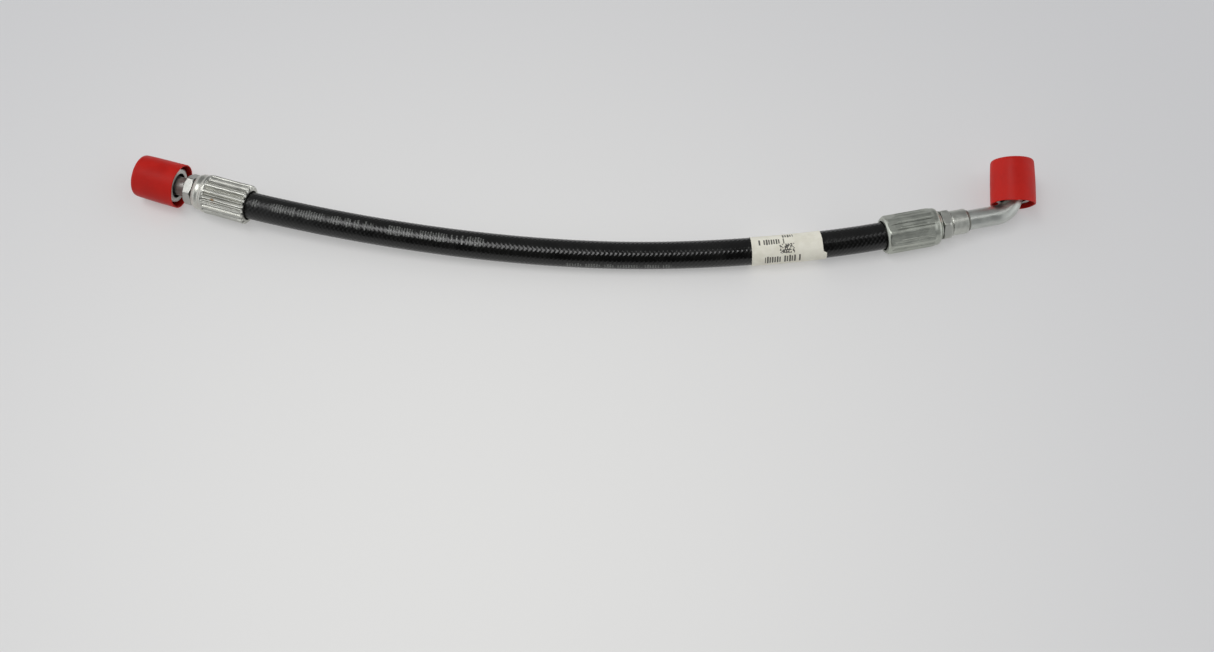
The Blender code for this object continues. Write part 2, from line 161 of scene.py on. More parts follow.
class Spine:
    """A smooth curve through points, measured by its length from the first."""

    def __init__(self, points):
        self.s = np.concatenate([[0], np.cumsum(np.linalg.norm(np.diff(points, axis=0), axis=1))])
        self.p = np.asarray(points)
        self.t = np.gradient(self.p, self.s, axis=0)
        self.t[0] = (self.p[1] - self.p[0]) / (self.s[1] - self.s[0])
        self.t[-1] = (self.p[-1] - self.p[-2]) / (self.s[-1] - self.s[-2])
        self.length = self.s[-1]

    def at(self, s):
        """Points of the curve and its direction there."""
        s = np.clip(s, 0, self.length)
        i = np.clip(np.searchsorted(self.s, s, side="right") - 1, 0, len(self.s) - 2)
        h = (self.s[i + 1] - self.s[i])[..., None]
        u = (s - self.s[i])[..., None] / h
        a, b, ta, tb = self.p[i], self.p[i + 1], self.t[i] * h, self.t[i + 1] * h
        point = (2 * u**3 - 3 * u**2 + 1) * a + (u**3 - 2 * u**2 + u) * ta
        point = point + (3 * u**2 - 2 * u**3) * b + (u**3 - u**2) * tb
        slope = (6 * u**2 - 6 * u) * (a - b) + (3 * u**2 - 4 * u + 1) * ta + (3 * u**2 - 2 * u) * tb
        return point, slope / np.linalg.norm(slope, axis=-1, keepdims=True)

    def around(self, s, radius, angle):
        """Points round the curve: angle 0 is up, a quarter turn is forward x up."""
        s, radius, angle = np.broadcast_arrays(s, radius, angle)
        point, forward = self.at(s)
        x = UP - forward * (forward @ UP)[..., None]
        x = x / np.linalg.norm(x, axis=-1, keepdims=True)
        y = np.cross(forward, x)
        flat = np.cos(angle)[..., None] * x + np.sin(angle)[..., None] * y
        return point + radius[..., None] * flat


def hose_spine():
    """The hose's centreline as the CAD has it: through the middle of each ring of its inner tube."""
    points = node_points("hose_inner_tube")
    points = points[np.argsort(points[:, 0])]
    per_ring = 24
    return Spine(points.reshape(-1, per_ring, 3).mean(1))


# ------------ meshes


def ring(count):
    """Angles of points spaced evenly round a circle."""
    return np.arange(count) * TAU / count


def numbered(points):
    """The vertex number of each point of a grid."""
    return np.arange(points[..., 0].size).reshape(points.shape[:2])


def coordinates(along, around):
    """Surface coordinates from two arrays that broadcast."""
    return np.stack(np.broadcast_arrays(along, around), axis=-1)


def row_faces(index):
    """Faces between neighbouring rows of vertex numbers; the rows wrap round."""
    right = np.roll(index, -1, axis=1)
    return np.stack([index[:-1], right[:-1], right[1:], index[1:]], -1).reshape(-1, 4).tolist()


def signed_volume(vertices, faces):
    triangles = np.array([(f[0], f[k], f[k + 1]) for f in faces for k in range(1, len(f) - 1)])
    a, b, c = (vertices[triangles[:, i]] for i in range(3))
    return np.sum(a * np.cross(b, c))


def new_object(name, data):
    obj = bpy.data.objects.new(name, data)
    bpy.context.scene.collection.objects.link(obj)
    return obj


def new_piece(name, vertices, faces, smooth, uv=None):
    """An object with its faces turned outwards, smooth up to an angle in degrees."""
    mesh = bpy.data.meshes.new(name)
    mesh.from_pydata(vertices.tolist(), [], faces)
    if signed_volume(vertices, faces) < 0:
        mesh.flip_normals()
    if uv is not None:
        layer = mesh.uv_layers.new(name="surface")
        corner = np.empty(len(mesh.loops), int)
        mesh.loops.foreach_get("vertex_index", corner)
        layer.data.foreach_set("uv", uv.reshape(-1, 2)[corner].ravel())
    mesh.shade_smooth()
    mesh.set_sharp_from_angle(angle=math.radians(smooth))
    return new_object(name, mesh)


def looped_grid(name, points, uv, smooth):
    """A closed mesh from rows of points that wrap round, the last row joined to the first."""
    index = numbered(points)
    faces = row_faces(np.vstack([index, index[:1]]))
    return new_piece(name, points.reshape(-1, 3), faces, smooth, uv)


def capped_grid(name, points, smooth):
    """A closed mesh from rows of points that wrap round, a fan over its first and its last row."""
    index = numbered(points)
    vertices = np.vstack([points.reshape(-1, 3), points[0].mean(0), points[-1].mean(0)])
    faces = row_faces(index)
    for row, centre in ((index[0][::-1], index.size), (index[-1], index.size + 1)):
        faces += [[i, j, centre] for i, j in zip(row.tolist(), np.roll(row, -1).tolist())]
    return new_piece(name, vertices, faces, smooth)


def sheet_grid(name, points, uv, smooth):
    """Rows that go out along a sheet's top and back under it, closed by strips at the sheet's ends."""
    index = numbered(points)
    faces = row_faces(index)
    last = index.shape[1] - 1
    for row, flip in ((index[0], True), (index[-1], False)):
        for k in range(last // 2):
            face = row[[k, k + 1, last - 1 - k, last - k]].tolist()
            faces.append(face[::-1] if flip else face)
    return new_piece(name, points.reshape(-1, 3), faces, smooth, uv)


def fillet(corners, step):
    """A closed outline with its corners rounded and its sides cut into steps.

    corners: (along, radius, rounding, mark). The mark is carried along the side that starts there, and
    sides with no mark get steps five times as long. Returns arrays: along, radius, mark.
    """
    out = []
    p = np.array([c[:2] for c in corners], float)
    for i, (_, _, rounding, mark) in enumerate(corners):
        here = p[i]
        a, b = p[i - 1] - here, p[(i + 1) % len(p)] - here
        length_a, length_b = np.linalg.norm(a), np.linalg.norm(b)
        a, b = a / length_a, b / length_b
        half = 0.5 * math.acos(np.clip(a @ b, -1, 1))
        if rounding == 0 or half >= math.pi / 2 - 0.02:
            out.append((*here, mark))
            continue
        cut = min(rounding / math.tan(half), 0.45 * length_a, 0.45 * length_b)
        centre = here + unit(a + b) * (cut * math.tan(half)) / math.sin(half)
        start, end = here + a * cut - centre, here + b * cut - centre
        sweep = math.pi - 2 * half
        pieces = max(2, int(math.ceil(sweep / math.radians(18))))
        for k in range(pieces + 1):
            t = k / pieces
            arc = (math.sin((1 - t) * sweep) * start + math.sin(t * sweep) * end) / math.sin(sweep)
            out.append((*(centre + arc), mark if k == pieces else corners[i - 1][3]))
    out = np.array(out)
    dense = []
    for a, b in zip(out, np.roll(out, -1, axis=0)):
        reach = step if a[2] > 0.5 else 5 * step
        pieces = max(1, int(math.ceil(np.linalg.norm(b[:2] - a[:2]) / reach)))
        dense += [(*(a + (b - a) * k / pieces)[:2], a[2]) for k in range(pieces)]
    return np.array(dense).T


def lathe(name, axis, corners, segments, step, shape=None, smooth=32):
    """A turned solid round an axis. shape(along, radius, angle, mark) may change the radius."""
    along, radius, mark = fillet(corners, step)[:, :, None]
    angle = ring(segments)[None]
    along, radius = along + 0 * angle, radius + 0 * angle
    if shape:
        radius = shape(along, radius, angle, mark)
    uv = coordinates(along, angle * 0.01)
    return looped_grid(name, axis.at(along, radius, angle), uv, smooth)


def wobble(*parts):
    """A smooth irregular number from -1 to 1 from a few arrays, the same each run."""
    total = 0.0
    for k, (a, b) in enumerate(((1.0, 0.3), (2.3, 1.9), (3.7, 4.1))):
        phase = sum(p * (a + 0.37 * i * b) for i, p in enumerate(parts))
        total = total + np.sin(phase + b) / (1 + k)
    return total / 1.83


def scatter(number):
    """Two irregular numbers from 0 to 1 for a whole number, the same each run."""
    chance = np.mod(np.sin(number * 12.9898) * 43758.5453, 1.0)
    return chance, np.mod(chance * 7.31, 1.0)


def smoothstep(x, low, high):
    t = np.clip((x - low) / (high - low), 0, 1)
    return t * t * (3 - 2 * t)


def plateau(x, low, low_end, high_start, high):
    """0 outside low to high, 1 between low_end and high_start, smooth between them."""
    return smoothstep(x, low, low_end) * (1 - smoothstep(x, high_start, high))


def soft_min(a, b, soft):
    """The smaller of a and b, with the crease between them rounded over about `soft`."""
    return 0.5 * (a + b - np.sqrt((a - b) ** 2 + soft * soft))


class HexBand:
    """A hexagon on a turned piece, each end chamfered from `cut` inside its flats."""

    def __init__(self, start, end, apothem, corner, cut, turn=0.0):
        self.start, self.end = start, end
        self.apothem, self.corner, self.turn = apothem, corner, turn
        self.foot = apothem - cut

    def outline(self):
        """The band's corners for a lathe, reaching out to the hexagon's corners."""
        run = (self.corner - self.foot) / CHAMFER_SLOPE
        return [
            (self.start, self.foot, 0, 1),
            (self.start + run, self.corner, 0, 1),
            (self.end - run, self.corner, 0, 1),
            (self.end, self.foot, 0, 0),
        ]

    def limit(self, along, radius, angle):
        """The radius, brought in to the chamfered hexagon where it stands outside it."""
        folded = np.mod(angle - self.turn + math.pi / 6, math.pi / 3) - math.pi / 6
        flats = soft_min(self.apothem / np.cos(folded), self.corner - 0.10 * MM, 0.12 * MM)
        from_end = np.minimum(along - self.start, self.end - along)
        limit = soft_min(flats, self.foot + 0.04 * MM + from_end * CHAMFER_SLOPE, 0.07 * MM)
        return np.where(radius > self.foot + 0.001 * MM, np.minimum(radius, limit), radius)


# ------------ materials


class Graph:
    """Short names for building a node tree."""

    def __init__(self, tree):
        self.tree = tree

    def add(self, kind, **values):
        node = self.tree.nodes.new("ShaderNode" + kind)
        for key, value in values.items():
            if hasattr(node, key):
                setattr(node, key, value)
            else:
                node.inputs[key.replace("_", " ")].default_value = value
        return node

    def feed(self, slot, value):
        """Link a socket or set a plain value; a colour of three numbers becomes opaque."""
        if isinstance(value, bpy.types.NodeSocket):
            self.tree.links.new(value, slot)
        elif slot.type == "RGBA":
            slot.default_value = (*value, 1.0)
        else:
            slot.default_value = value

    def math(self, operation, a, b=0.0):
        node = self.add("Math", operation=operation)
        self.feed(node.inputs[0], a)
        self.feed(node.inputs[1], b)
        return node.outputs[0]

    def total(self, first, *others):
        for other in others:
            first = self.math("ADD", first, other)
        return first

    def product(self, first, *others):
        for other in others:
            first = self.math("MULTIPLY", first, other)
        return first

    def ramp(self, value, low, high, out_low=0.0, out_high=1.0):
        node = self.add("MapRange", interpolation_type="SMOOTHSTEP")
        for slot, v in enumerate((value, low, high, out_low, out_high)):
            self.feed(node.inputs[slot], v)
        return node.outputs[0]

    def split(self, vector):
        node = self.add("SeparateXYZ")
        self.feed(node.inputs[0], vector)
        return node.outputs[0], node.outputs[1]


class Surface(Graph):
    """A new material and the nodes it is made of."""

    def __init__(self, name):
        self.material = bpy.data.materials.new(name)
        self.material.use_nodes = True
        super().__init__(self.material.node_tree)

    def mapped(self, vector, scale):
        node = self.add("Mapping", Scale=scale)
        self.feed(node.inputs[0], vector)
        return node.outputs[0]

    def position(self, scale=(1, 1, 1)):
        return self.mapped(self.add("TexCoord").outputs["Object"], scale)

    def surface(self, along=1, around=1):
        """Along and round the piece, from its surface coordinates."""
        return self.mapped(self.add("UVMap", uv_map="surface").outputs[0], (along, around, 1))

    def noise(self, vector, scale, detail):
        node = self.add("TexNoise", Scale=scale, Detail=detail, Roughness=0.55)
        self.feed(node.inputs["Vector"], vector)
        return node.outputs["Fac"]

    def speckle(self, scale, detail):
        """Noise of the same scale in every direction."""
        return self.noise(self.position(), scale, detail)

    def strands(self, along, around, detail):
        """Noise stretched along or round the piece."""
        return self.noise(self.surface(along, around), 1.0, detail)

    def chance(self, dimensions, slot, value):
        """One random number for each value."""
        node = self.add("TexWhiteNoise", noise_dimensions=dimensions)
        self.feed(node.inputs[slot], value)
        return node.outputs["Value"]

    def distance_to(self, point):
        node = self.add("VectorMath", operation="DISTANCE")
        self.feed(node.inputs[0], self.position())
        node.inputs[1].default_value = tuple(point)
        return node.outputs["Value"]

    def mix(self, factor, a, b):
        node = self.add("Mix", data_type="RGBA")
        for slot, value in ((0, factor), (6, a), (7, b)):
            self.feed(node.inputs[slot], value)
        return node.outputs[2]

    def bump(self, height, strength, distance):
        node = self.add("Bump", Strength=strength, Distance=distance)
        self.feed(node.inputs["Height"], height)
        return node.outputs[0]

    def finish(self, **values):
        """Set the shader's inputs and return the material."""
        shader = self.tree.nodes["Principled BSDF"]
        for key, value in values.items():
            self.feed(shader.inputs[key.replace("_", " ")], value)
        return self.material


def shade(colour, factor):
    return tuple(min(1, c * factor) for c in colour)


def zinc(name, base, streak, turned_marks, rough, rust=None):
    """Zinc plating: cloudy grey, brushed along or round, with painted shade darkening its hollows."""
    n = Surface(name)
    clouds = n.speckle(160.0, 5.0)
    specks = n.speckle(900.0, 3.0)
    lines = n.strands(60.0, 9000.0, 3.0)
    drawn = n.strands(45.0, 1700.0, 3.0)
    rings = n.strands(9000.0, 20.0, 2.0)
    warm = (base[0] * 0.96, base[1] * 0.93, base[2] * 0.80)
    colour = n.mix(n.ramp(clouds, 0.35, 0.68), shade(base, 0.80), base)
    colour = n.mix(n.ramp(specks, 0.60, 0.75, 0.0, 0.35), colour, warm)
    colour = n.mix(n.ramp(lines, 0.45, 0.7, 0.0, streak), colour, shade(base, 1.25))
    colour = n.mix(n.ramp(drawn, 0.42, 0.30, 0.0, streak), colour, shade(base, 0.6))
    colour = n.mix(n.ramp(drawn, 0.60, 0.74, 0.0, streak), colour, shade(base, 1.35))
    # painted shade: ambient occlusion darkens the colour in hollows and crevices
    painted_hollow_shade = n.add("AmbientOcclusion", samples=8, Distance=1.3 * MM).outputs["AO"]
    colour = n.mix(n.ramp(painted_hollow_shade, 0.40, 0.92), shade(base, 0.30), colour)
    if rust is not None:
        ragged = n.product(n.speckle(1500.0, 4.0), 0.8 * MM)
        edge = n.total(n.distance_to(rust), ragged)
        colour = n.mix(n.ramp(edge, 0.9 * MM, 1.8 * MM, 0.9, 0.0), colour, (0.24, 0.13, 0.055))
    dull = n.ramp(specks, 0.5, 0.8, 0.0, 0.10)
    dull = n.total(n.ramp(clouds, 0.3, 0.7, rough - 0.05, rough + 0.07), dull)
    height = n.product(lines, 0.4 * streak)
    height = n.total(height, n.product(rings, turned_marks), n.product(specks, 0.12))
    bump = n.bump(height, 0.35, 0.08 * MM)
    return n.finish(Base_Color=colour, Metallic=1.0, Roughness=dull, Normal=bump)


def vinyl():
    """Soft red vinyl: satin, faintly mottled, with a few pale scuffs."""
    n = Surface("red_vinyl_soft")
    clouds = n.speckle(90.0, 4.0)
    fine = n.speckle(1400.0, 3.0)
    scuff = n.noise(n.position((260.0, 900.0, 260.0)), 1.0, 5.0)
    colour = n.mix(n.ramp(clouds, 0.3, 0.7), (0.47, 0.0080, 0.0040), (0.54, 0.011, 0.0055))
    colour = n.mix(n.ramp(scuff, 0.66, 0.80, 0.0, 0.15), colour, (0.58, 0.06, 0.045))
    rough = n.total(n.ramp(clouds, 0.3, 0.7, 0.42, 0.52), n.ramp(scuff, 0.6, 0.8, 0.0, 0.12))
    return n.finish(
        Base_Color=colour,
        Roughness=rough,
        Normal=n.bump(n.total(fine, n.product(clouds, 1.5)), 0.12, 0.2 * MM),
        Subsurface_Weight=0.08,
        Subsurface_Radius=(0.004, 0.0006, 0.0004),
        Specular_IOR_Level=0.20,
    )


def inside_area(n, along, around, start, end, centre, reach):
    """1 between start and end along the hose, and less than reach round it from a centre line."""
    return n.product(
        n.math("LESS_THAN", n.math("ABSOLUTE", n.math("SUBTRACT", around, centre)), reach),
        n.math("GREATER_THAN", along, start),
        n.math("LESS_THAN", along, end),
    )


def stroke_row(n, along, around, cell, row):
    """1 inside a row of short upright strokes. row: start, end, distance round from the top, height."""
    start, end, centre, height = row
    cells = n.math("DIVIDE", along, cell)
    chance = n.chance("1D", "W", n.math("FLOOR", cells))
    width = n.total(n.product(chance, 0.30), 0.42)
    reach = n.total(n.product(chance, height * 0.20), height * 0.34)
    return n.product(
        n.math("LESS_THAN", n.math("FRACT", cells), width),
        n.math("GREATER_THAN", chance, STROKE_GAPS),
        inside_area(n, along, around, start, end, centre, reach),
    )


def stroke_rows(n, along, around, cell, rows):
    marks = 0.0
    for row in rows:
        marks = n.math("MAXIMUM", marks, stroke_row(n, along, around, cell, row))
    return marks


def speckled_block(n, along, around, block):
    """1 in about half the small squares of a block."""
    start, end, centre, height = block
    snap = n.add("VectorMath", operation="SNAP")
    n.feed(snap.inputs[0], n.surface())
    snap.inputs[1].default_value = (LABEL_DOT, LABEL_DOT, 1.0)
    dots = n.math("GREATER_THAN", n.chance("2D", "Vector", snap.outputs[0]), 0.5)
    return n.product(dots, inside_area(n, along, around, start, end, centre, height / 2))


def rubber(rows):
    """Black hose cover: satin, dusty, with faded rows of generic strokes along it."""
    n = Surface("hose_rubber")
    along, around = n.split(n.surface())
    dust = n.speckle(120.0, 5.0)
    smear = n.strands(700.0, 240.0, 4.0)
    colour = n.mix(n.ramp(dust, 0.35, 0.75), (0.0030, 0.0030, 0.0028), (0.0060, 0.0060, 0.0055))
    marks = stroke_rows(n, along, around, HOSE_STROKE, rows)
    words = n.ramp(n.strands(70.0, 0.0, 1.0), 0.40, 0.47)
    worn = n.ramp(n.strands(1500.0, 1500.0, 4.0), 0.36, 0.60, 0.30, 0.80)
    colour = n.mix(n.product(marks, words, worn), colour, (0.17, 0.175, 0.165))
    rough = n.total(
        n.ramp(dust, 0.3, 0.7, 0.17, 0.24),
        n.ramp(smear, 0.4, 0.7, 0.0, 0.08),
        n.ramp(along, 0.03, 0.12, 0.12, 0.0),
    )
    bump = n.bump(n.speckle(2600.0, 3.0), 0.18, 0.04 * MM)
    return n.finish(Base_Color=colour, Roughness=rough, Normal=bump, Specular_IOR_Level=0.46)


def plain(name, colour, roughness, metallic):
    """A simple surface with a little mottling and grain."""
    n = Surface(name)
    clouds = n.speckle(160.0, 4.0)
    tint = n.mix(n.ramp(clouds, 0.3, 0.7), shade(colour, 0.82), colour)
    rough = n.ramp(clouds, 0.3, 0.7, roughness, roughness + 0.08)
    bump = n.bump(n.speckle(1600.0, 3.0), 0.2, 0.06 * MM)
    return n.finish(Base_Color=tint, Roughness=rough, Metallic=metallic, Normal=bump)


def paper(rows, block):
    """Label stock: warm white, slightly soiled, with rows of generic strokes and a speckled block."""
    n = Surface("label_paper")
    along, around = n.split(n.surface())
    fibre = n.speckle(2200.0, 4.0)
    soil = n.speckle(180.0, 4.0)
    crease = n.strands(300.0, 1600.0, 2.0)
    colour = n.mix(n.ramp(soil, 0.35, 0.75), (0.90, 0.875, 0.765), (0.80, 0.77, 0.655))
    marks = stroke_rows(n, along, around, LABEL_STROKE, rows)
    marks = n.math("MAXIMUM", marks, speckled_block(n, along, around, block))
    ink = n.product(marks, n.ramp(fibre, 0.25, 0.6, 0.80, 0.96))
    colour = n.mix(ink, colour, (0.045, 0.042, 0.038))
    bump = n.bump(n.total(fibre, n.product(crease, 1.5)), 0.25, 0.1 * MM)
    return n.finish(Base_Color=colour, Roughness=0.55, Normal=bump, Specular_IOR_Level=0.3)


def printed(start, end, degrees, height):
    """A printed row or block: start, end, distance round the hose from its top, height."""
    return start, end, HOSE_R * math.radians(degrees), height


def make_materials(straight, label_length):
    rust = straight.at(16.2 * MM, 9.6 * MM, -0.75)
    hose_rows = [printed(0.027, 0.152, 14, 4.8 * MM), printed(0.184, 0.236, 86, 3.0 * MM)]
    label_rows = [
        printed(label_length * 0.10, label_length * 0.465, -4, 3.0 * MM),
        printed(label_length * 0.45, label_length * 0.60, -32, 2.4 * MM),
        printed(label_length * 0.18, label_length * 0.68, 76, 4.2 * MM),
    ]
    block = printed(label_length * 0.39, label_length * 0.60, 29, 4.6 * MM)
    return {
        "ferrule": zinc("zinc_ribbed", (0.63, 0.63, 0.58), 0.4, 0.0, 0.33, rust),
        "ferrule_dull": zinc("zinc_dull", (0.50, 0.52, 0.465), 0.7, 0.0, 0.38),
        "nipple": zinc("zinc_turned", (0.53, 0.53, 0.50), 0.15, 0.5, 0.40),
        "stem": zinc("zinc_stem", (0.63, 0.64, 0.59), 0.25, 0.3, 0.38),
        "tube": zinc("zinc_tube", (0.62, 0.64, 0.605), 0.3, 0.0, 0.36),
        "nut": zinc("zinc_nut", (0.66, 0.66, 0.63), 0.1, 0.4, 0.42),
        "wire": plain("drawn_wire", (0.50, 0.49, 0.46), 0.35, 1.0),
        "dark_wire": plain("oiled_wire", (0.10, 0.095, 0.09), 0.45, 1.0),
        # painted shade: a near-black zinc for the inside of each nut's bore
        "bore_painted_shade": zinc("nut_bore_painted_shade", (0.09, 0.088, 0.08), 0.1, 0.3, 0.5),
        "braze": plain("braze_fillet", (0.27, 0.265, 0.235), 0.55, 1.0),
        "vinyl": vinyl(),
        "rubber": rubber(hose_rows),
        "liner": plain("liner_rubber", (0.012, 0.012, 0.012), 0.6, 0.0),
        "paper": paper(label_rows, block),
    }


# ------------ nuts and caps


def finish_piece(obj, look, node, body=None, blend=None):
    """Give a piece its material, hide the CAD node it stands for, and tie it to its body; with blend set it is
    only baked in place.
    """
    obj.data.materials.append(MATERIALS[look])
    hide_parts(node)
    if blend:
        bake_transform(obj)
    else:
        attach(obj, body)


def swivel_nut(prefix, axis):
    """A hexagon nut with chamfered corners, a real internal thread and a groove for its wire."""
    node = prefix + "_swivel_nut"
    low, high, bore, corner = axis.span(node)
    length = high - low
    minor, thread_at, depth = 6.65 * MM, 4.2 * MM, 0.62 * MM
    groove_start, groove_end, groove_r = 2.05 * MM, 3.75 * MM, bore + 0.85 * MM
    band = HexBand(0, length, NUT_APOTHEM, corner, 0.45 * MM)
    outline = [(0, bore, 0.35 * MM, 0)]
    outline += band.outline()
    outline += [
        (length, minor + 0.85 * MM, 0.05 * MM, 0),
        (length - 0.9 * MM, minor, 0.0, 2),
        (thread_at, minor, 0.1 * MM, 0),
        (thread_at - 0.3 * MM, bore, 0.05 * MM, 0),
        (groove_end, bore, 0.05 * MM, 0),
        (groove_end, groove_r, 0.1 * MM, 0),
        (groove_start, groove_r, 0.1 * MM, 0),
        (groove_start, bore, 0.05 * MM, 0),
    ]

    def shape(along, radius, angle, mark):
        radius = band.limit(along, radius, angle)
        turns = along / THREAD_PITCH - angle / TAU
        tooth = 1 - np.abs(2 * np.mod(turns, 1.0) - 1)
        tooth = np.clip(tooth * 1.35 - 0.15, 0, 1)
        fade = plateau(along, thread_at, thread_at + 1.2 * MM, length - 1.4 * MM, length - 0.9 * MM)
        return np.where(mark > 1.5, radius + depth * tooth * fade, radius)

    obj = lathe(prefix + "_nut", axis, outline, 180, 0.14 * MM, shape)
    finish_piece(obj, "nut", node, prefix + "_nut")
    # painted shade: the bore and wire groove near the nut's back face are coloured near-black
    obj.data.materials.append(MATERIALS["bore_painted_shade"])
    for face in obj.data.polygons:
        rel = np.array(face.center) - axis.o
        along = rel @ axis.z
        inside = np.linalg.norm(rel - along * axis.z) < bore + 0.9 * MM
        face.material_index = int(inside and 0.25 * MM < along < thread_at)


def retaining_wire(prefix, axis):
    """A round wire bent to a nearly closed ring, with a small gap between its ends."""
    node = prefix + "_retaining_wire"
    low, high, inner, outer = axis.span(node)
    ring_r, wire_r = (inner + outer) / 2, (outer - inner) / 2
    gap, end_round = 0.09, 0.03
    turn = np.linspace(gap, TAU - gap, 97)
    section = ring(20)
    from_end = np.minimum(turn - gap, TAU - gap - turn)
    taper = (np.minimum(1, from_end / end_round) ** 0.5 * 0.5 + 0.5)[:, None]
    r = ring_r + wire_r * taper * np.cos(section)
    z = (low + high) / 2 + wire_r * taper * np.sin(section)
    obj = capped_grid(prefix + "_nut_wire", axis.at(z, r, turn[:, None]), 50)
    finish_piece(obj, "dark_wire", node, prefix + "_nut")


def cap_profile(length, widest, end_r):
    """(along, radius) from the middle of the end's inside, round the rim, to the middle outside."""
    wall, end_wall, rounding, step = 0.75 * MM, 1.3 * MM, 1.0 * MM, 0.35 * MM
    middle, rim = 0.4 * MM, 0.30 * MM
    inner = length - end_wall
    profile = [(inner, r) for r in np.linspace(middle, widest - wall - 1.0 * MM, 8)]
    profile.append((inner - 0.3 * MM, widest - wall - 0.3 * MM))
    profile += [(s, widest - wall) for s in np.arange(inner - 1.0 * MM, 0.45 * MM, -step)]
    for a in np.linspace(-math.pi / 2, math.pi / 2, 9):
        profile.append((rim - rim * math.cos(a), widest - wall / 2 + wall / 2 * math.sin(a)))
    for s in np.arange(0.45 * MM, length - rounding - 0.1 * MM, step):
        profile.append((s, widest + (end_r - widest) * (s / length) ** 3))
    for a in np.linspace(0, math.pi / 2, 11):
        profile.append((length + rounding * (math.sin(a) - 1), end_r + rounding * (math.cos(a) - 1)))
    for r in np.linspace(end_r - rounding, middle, 12)[1:]:
        profile.append((length - 0.06 * MM * math.sin(math.pi / 2 * (1 - r / end_r)), r))
    return np.array(profile).T[:, :, None]


def dust_cap(prefix, axis, seed):
    """A push-on vinyl cap: thin uneven rim, swelled by the nut's corners, rounded closed end."""
    node = prefix + "_dust_cap"
    low, high, _, widest = axis.span(node)
    length = high - low
    widest = widest + 0.15 * MM
    along, radius = cap_profile(length, widest, widest - 0.55 * MM)
    angle = ring(144)[None]
    near_rim = 1 - smoothstep(along, 0, length * 0.45)
    grip = plateau(along, 0.08 * length, 0.2 * length, 0.75 * length, 0.9 * length)
    lump = 0.10 * MM * near_rim * np.cos(2 * (angle - seed)) - 0.05 * MM * near_rim
    lump = lump + 0.05 * MM * near_rim * wobble(angle * 3, angle * 2 + seed)
    lump = lump + 0.05 * MM * grip * np.cos(6 * (angle - math.radians(30)))
    lump = lump + 0.03 * MM * wobble(angle, along * 260 + seed)
    share = np.clip(radius / (widest * 0.8), 0, 1)
    rim_wave = 0.16 * MM * (np.cos(2 * angle + seed) + 0.6 * np.cos(5 * angle + 2 * seed))
    for move in (rim_wave, 0.16 * MM):
        along = along + move * (1 - smoothstep(along, 0, 3.0 * MM)) * share
    points = axis.moved_to(node).at(along, radius + lump * share, angle)
    finish_piece(capped_grid(prefix + "_cap", points, 50), "vinyl", node, prefix + "_cap")


# ------------ fittings


def seat_corners(back, front, radius, bore):
    """The last corners of a nipple: shoulder, nose and the 37 degree cone down to its bore."""
    depth = (SEAT_MOUTH_R - bore) / math.tan(SEAT_CONE)
    return [
        (back, radius, 0.15 * MM, 0),
        (front, radius, 0.3 * MM, 0),
        (front, SEAT_MOUTH_R, 0.08 * MM, 0),
        (front - depth, bore, 0.2 * MM, 0),
    ]


def insert_corners(start, bore):
    """The first corners of a nipple: barbs in the hose, then the locking collar up to the hexagon."""
    barbs, barb_depth, neck = 5, 0.30 * MM, 2.5 * MM
    neck_r = INSERT_R - 0.25 * MM
    pitch = (COLLAR_AT - start - neck) / barbs
    corners = [(start, bore, 0.1 * MM, 0)]
    for k in range(barbs):
        foot = start + k * pitch
        corners.append((foot, INSERT_R - barb_depth, 0.05 * MM, 0))
        corners.append((foot + pitch - 0.3 * MM, INSERT_R, 0.05 * MM, 0))
    corners += [
        (COLLAR_AT - neck, neck_r, 0.05 * MM, 0),
        (COLLAR_AT, neck_r, 0.1 * MM, 0),
        (COLLAR_AT, COLLAR_R, 0.15 * MM, 0),
        (HEX_AT, COLLAR_R, 0.1 * MM, 0),
    ]
    return corners


def straight_nipple(axis):
    """Insert, collar, hexagon, neck and seat in one turned piece."""
    node = "straight_nipple"
    start, front, bore, corner = axis.span(node)
    neck_r, seat_r, seat_back = 4.7 * MM, 6.0 * MM, front - 5.0 * MM
    band = HexBand(HEX_AT, HEX_END, HEX_APOTHEM, corner, 0.5 * MM, math.radians(-17))
    corners = insert_corners(start, bore) + band.outline()
    corners += [
        (HEX_END, 5.5 * MM, 0.1 * MM, 0),
        (HEX_END + 0.7 * MM, neck_r, 0.4 * MM, 0),
        (seat_back, neck_r, 0.2 * MM, 0),
    ]
    corners += seat_corners(seat_back, front, seat_r, bore)

    def shape(along, radius, angle, mark):
        return np.where(mark > 0.5, band.limit(along, radius, angle), radius)

    obj = lathe("straight_nipple_body", axis, corners, 144, 0.25 * MM, shape)
    finish_piece(obj, "nipple", node, "hose")


